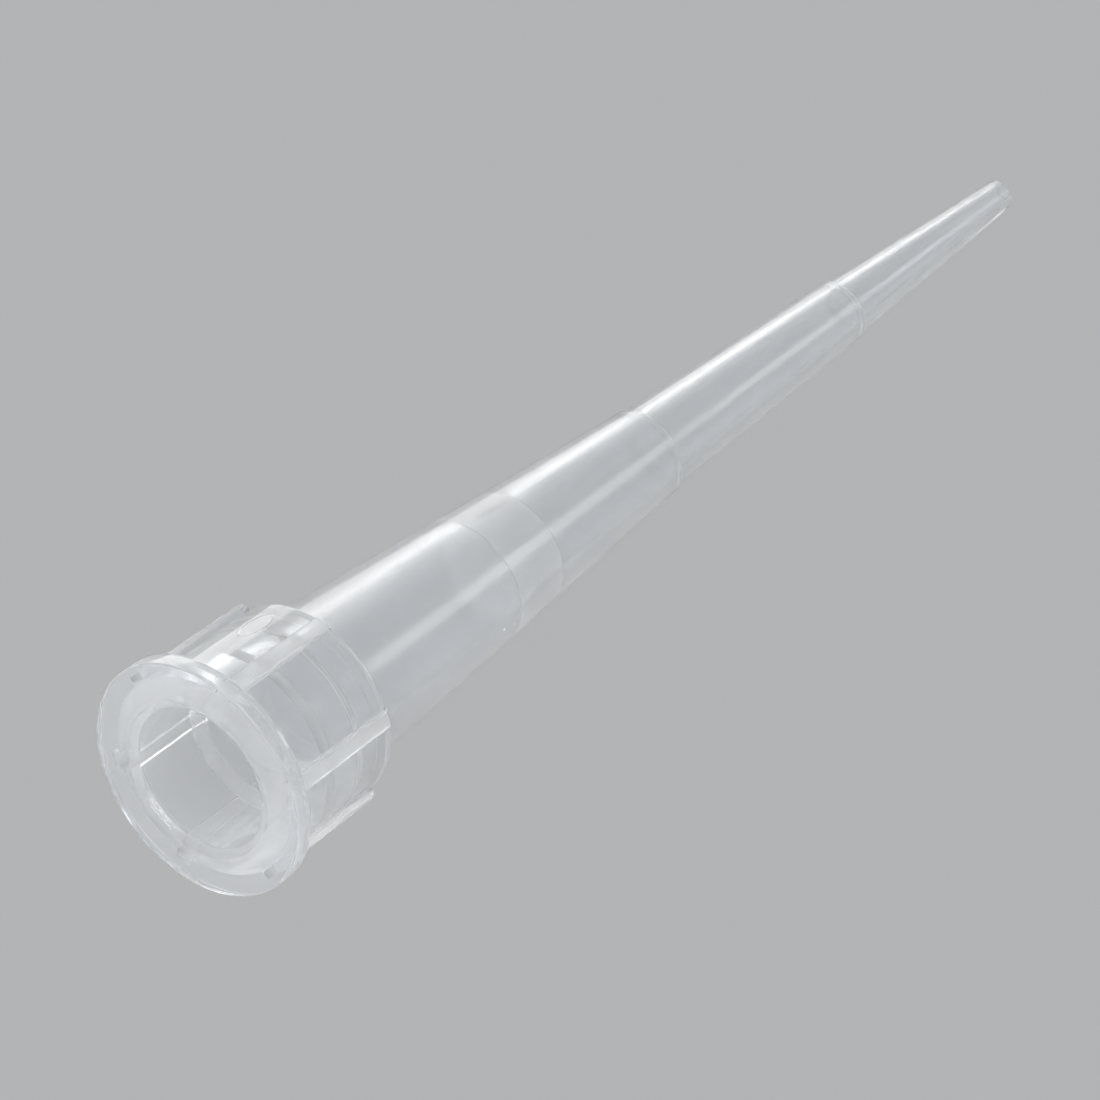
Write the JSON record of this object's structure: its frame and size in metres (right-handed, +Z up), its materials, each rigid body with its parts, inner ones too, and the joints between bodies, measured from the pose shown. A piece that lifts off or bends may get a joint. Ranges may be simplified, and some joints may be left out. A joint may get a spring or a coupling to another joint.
{
  "type": "pipette tip",
  "caption": "Clear disposable pipette tip, stood on its mouth: a flanged, ribbed collar round a stepped socket, then a long tube narrowing in steps to a fine orifice.",
  "frame": {"origin": "centre of the mouth, on the surface that the tip stands on", "axes": "+Z up along the tip's own axis, from the mouth to the orifice; +X through the middle of one of the six ribs."},
  "size_m": [0.0066, 0.0066, 0.0318],
  "materials": {
    "clear_polypropylene": "smooth natural polypropylene, clear to slightly milky, polished inside and out"
  },
  "bodies": {
    "root": {"tip_body": "clear_polypropylene"}
  },
  "joints": []
}
